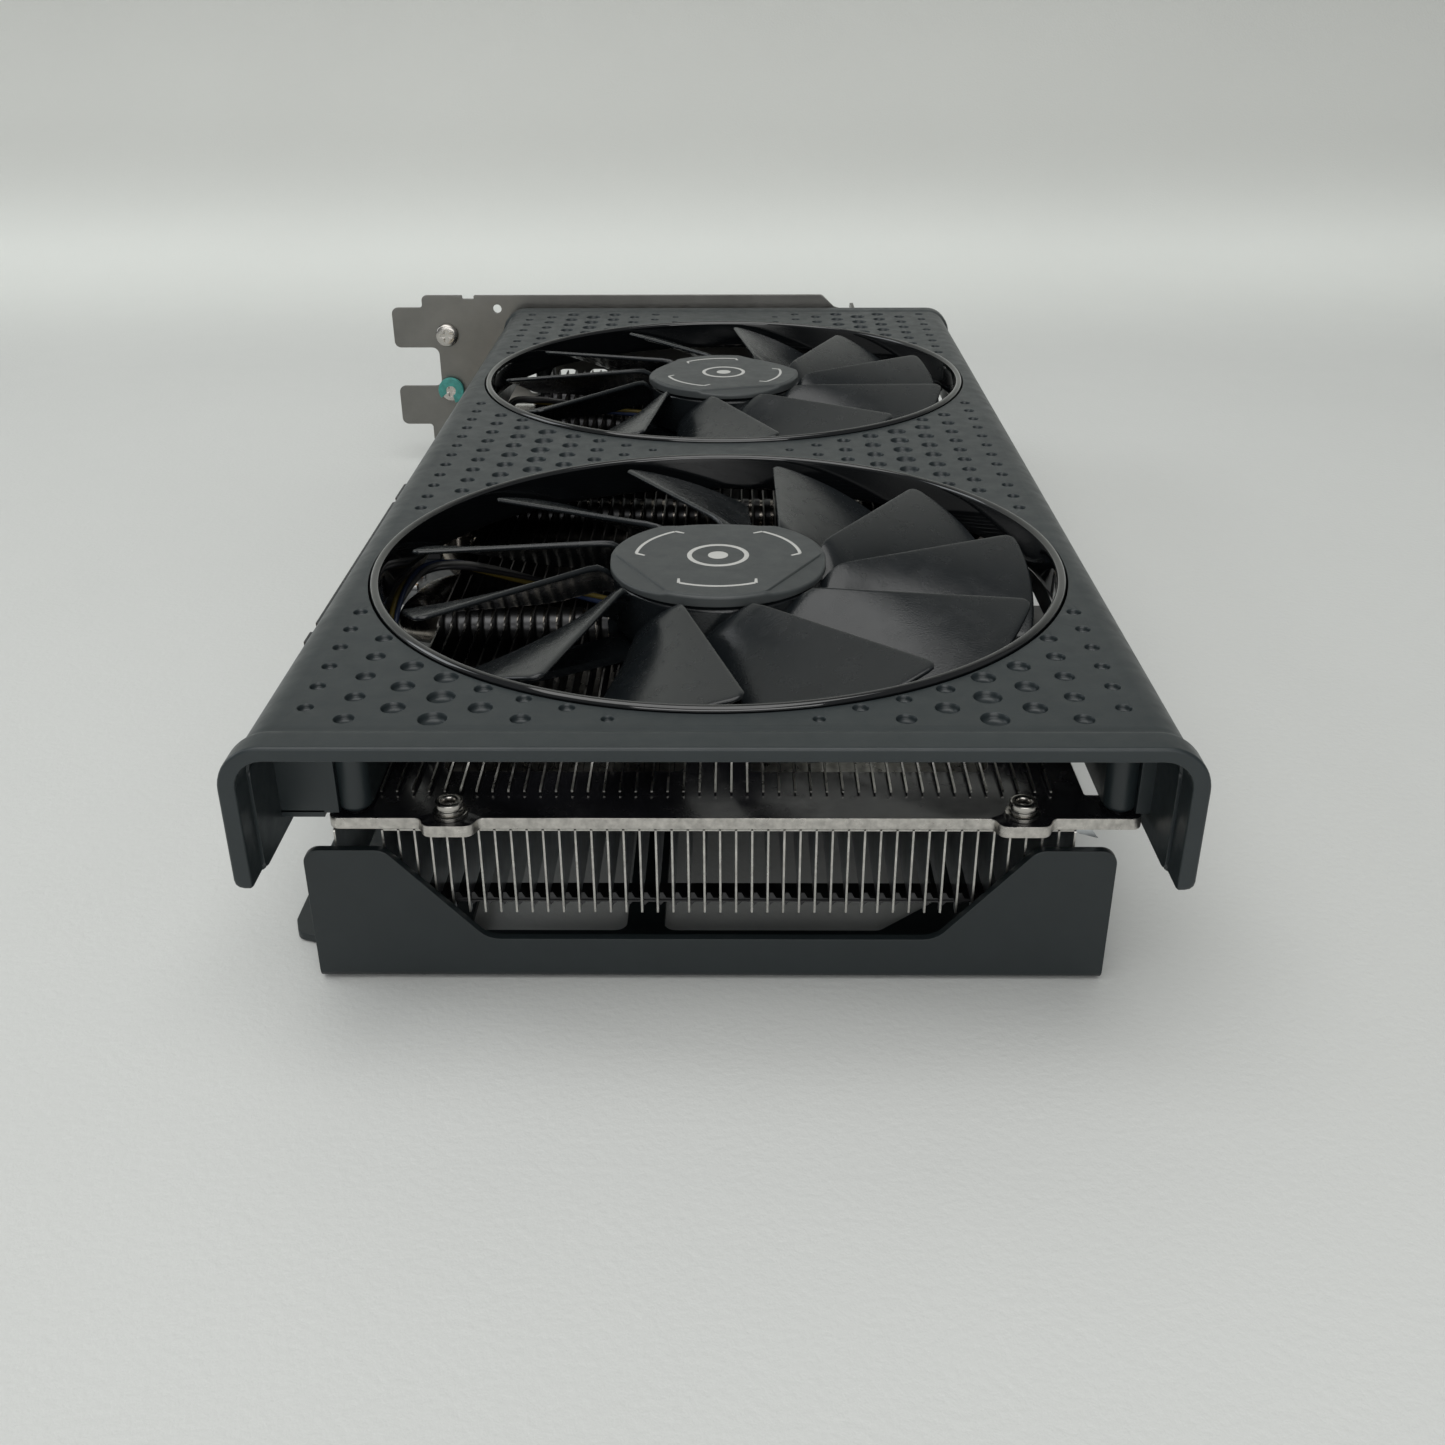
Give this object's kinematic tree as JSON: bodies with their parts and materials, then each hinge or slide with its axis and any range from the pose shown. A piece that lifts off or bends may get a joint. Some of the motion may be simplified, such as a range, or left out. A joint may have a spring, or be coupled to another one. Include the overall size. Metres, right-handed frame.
{
  "type": "graphics card",
  "caption": "Two-slot graphics card with axial fans under a charcoal shroud, finned cooler with heat pipes, backplate and metal I/O bracket.",
  "frame": {"origin": "centre of the bounding box at its bottom, on the plane of the backplate's outer face", "axes": "+Y from the open tail end to the I/O bracket, +Z out of the fan side, -X towards the expansion-slot edge"},
  "size_m": [0.1432, 0.2526, 0.0436],
  "materials": {
    "shroud_plastic": "satin moulded charcoal plastic with a fine grain",
    "ring_plastic": "polished black plastic",
    "fan_plastic": "satin black moulded plastic with a fine grain",
    "cap_plastic": "matt charcoal plastic with thin light grey printed arcs",
    "frame_paint": "black painted steel with a bare cut edge",
    "backplate_paint": "blue-black satin paint",
    "fin_aluminium": "bare folded aluminium sheet",
    "pipe_nickel": "nickel-plated copper",
    "bracket_nickel": "nickel-plated steel sheet",
    "screw_steel": "nickel-plated steel",
    "bearing_brass": "sintered brass",
    "shaft_steel": "ground steel",
    "stator_iron": "iron laminations with copper windings",
    "magnet_ferrite": "dark grey ferrite",
    "board_black": "black solder resist on glass-fibre board",
    "chip_moulding": "black epoxy moulding",
    "die_silicon": "polished silicon",
    "pad_grey": "soft grey thermal pad",
    "socket_plastic": "black nylon",
    "header_plastic": "off-white nylon",
    "lead_rubber": "thin insulated wires in a bundle",
    "port_steel": "bright plated steel shell"
  },
  "bodies": {
    "root": {"fan_shroud": "shroud_plastic", "ring_trim_tail": "ring_plastic", "fan_frame_tail": "fan_plastic", "motor_stator_tail": "stator_iron", "motor_board_tail": "board_black", "shaft_bearing_tail": "bearing_brass", "fan_lead_tail": "lead_rubber", "fan_header_tail": "header_plastic", "ring_trim_bracket": "ring_plastic", "fan_frame_bracket": "fan_plastic", "motor_stator_bracket": "stator_iron", "motor_board_bracket": "board_black", "shaft_bearing_bracket": "bearing_brass", "fan_lead_bracket": "lead_rubber", "fan_header_bracket": "header_plastic", "upper_fin_stack": "fin_aluminium", "lower_fin_stack": "fin_aluminium", "main_fin_stack": "fin_aluminium", "heat_pipe_1": "pipe_nickel", "heat_pipe_2": "pipe_nickel", "heat_pipe_3": "pipe_nickel", "heat_pipe_4": "pipe_nickel", "cold_plate": "pipe_nickel", "mid_frame": "frame_paint", "frame_standoff_left": "screw_steel", "frame_standoff_right": "screw_steel", "shroud_screw_left": "screw_steel", "shroud_screw_right": "screw_steel", "circuit_board": "board_black", "gpu_package": "board_black", "gpu_die": "die_silicon", "memory_chip_1": "chip_moulding", "memory_chip_2": "chip_moulding", "memory_chip_3": "chip_moulding", "memory_chip_4": "chip_moulding", "memory_pad": "pad_grey", "power_choke_1": "chip_moulding", "power_choke_2": "chip_moulding", "power_socket": "socket_plastic", "display_socket_1": "port_steel", "display_socket_2": "port_steel", "display_socket_3": "port_steel", "video_socket": "port_steel", "backplate": "backplate_paint", "backplate_screw_1": "screw_steel", "backplate_screw_2": "screw_steel", "backplate_screw_3": "screw_steel", "backplate_screw_4": "screw_steel", "io_bracket": "bracket_nickel", "bracket_screw_upper": "screw_steel", "bracket_screw_lower": "screw_steel"},
    "fan_tail": {"fan_rotor_tail": "fan_plastic", "hub_cap_tail": "cap_plastic", "rotor_magnet_tail": "magnet_ferrite", "fan_shaft_tail": "shaft_steel"},
    "fan_bracket": {"fan_rotor_bracket": "fan_plastic", "hub_cap_bracket": "cap_plastic", "rotor_magnet_bracket": "magnet_ferrite", "fan_shaft_bracket": "shaft_steel"}
  },
  "joints": [
    {"name": "fan_tail_spin", "type": "hinge", "parent": "root", "child": "fan_tail", "pos_m": [0.0148, -0.0665, 0.036], "axis": [0, 0, 1], "continuous": true},
    {"name": "fan_bracket_spin", "type": "hinge", "parent": "root", "child": "fan_bracket", "pos_m": [0.0148, 0.0435, 0.036], "axis": [0, 0, 1], "continuous": true}
  ]
}
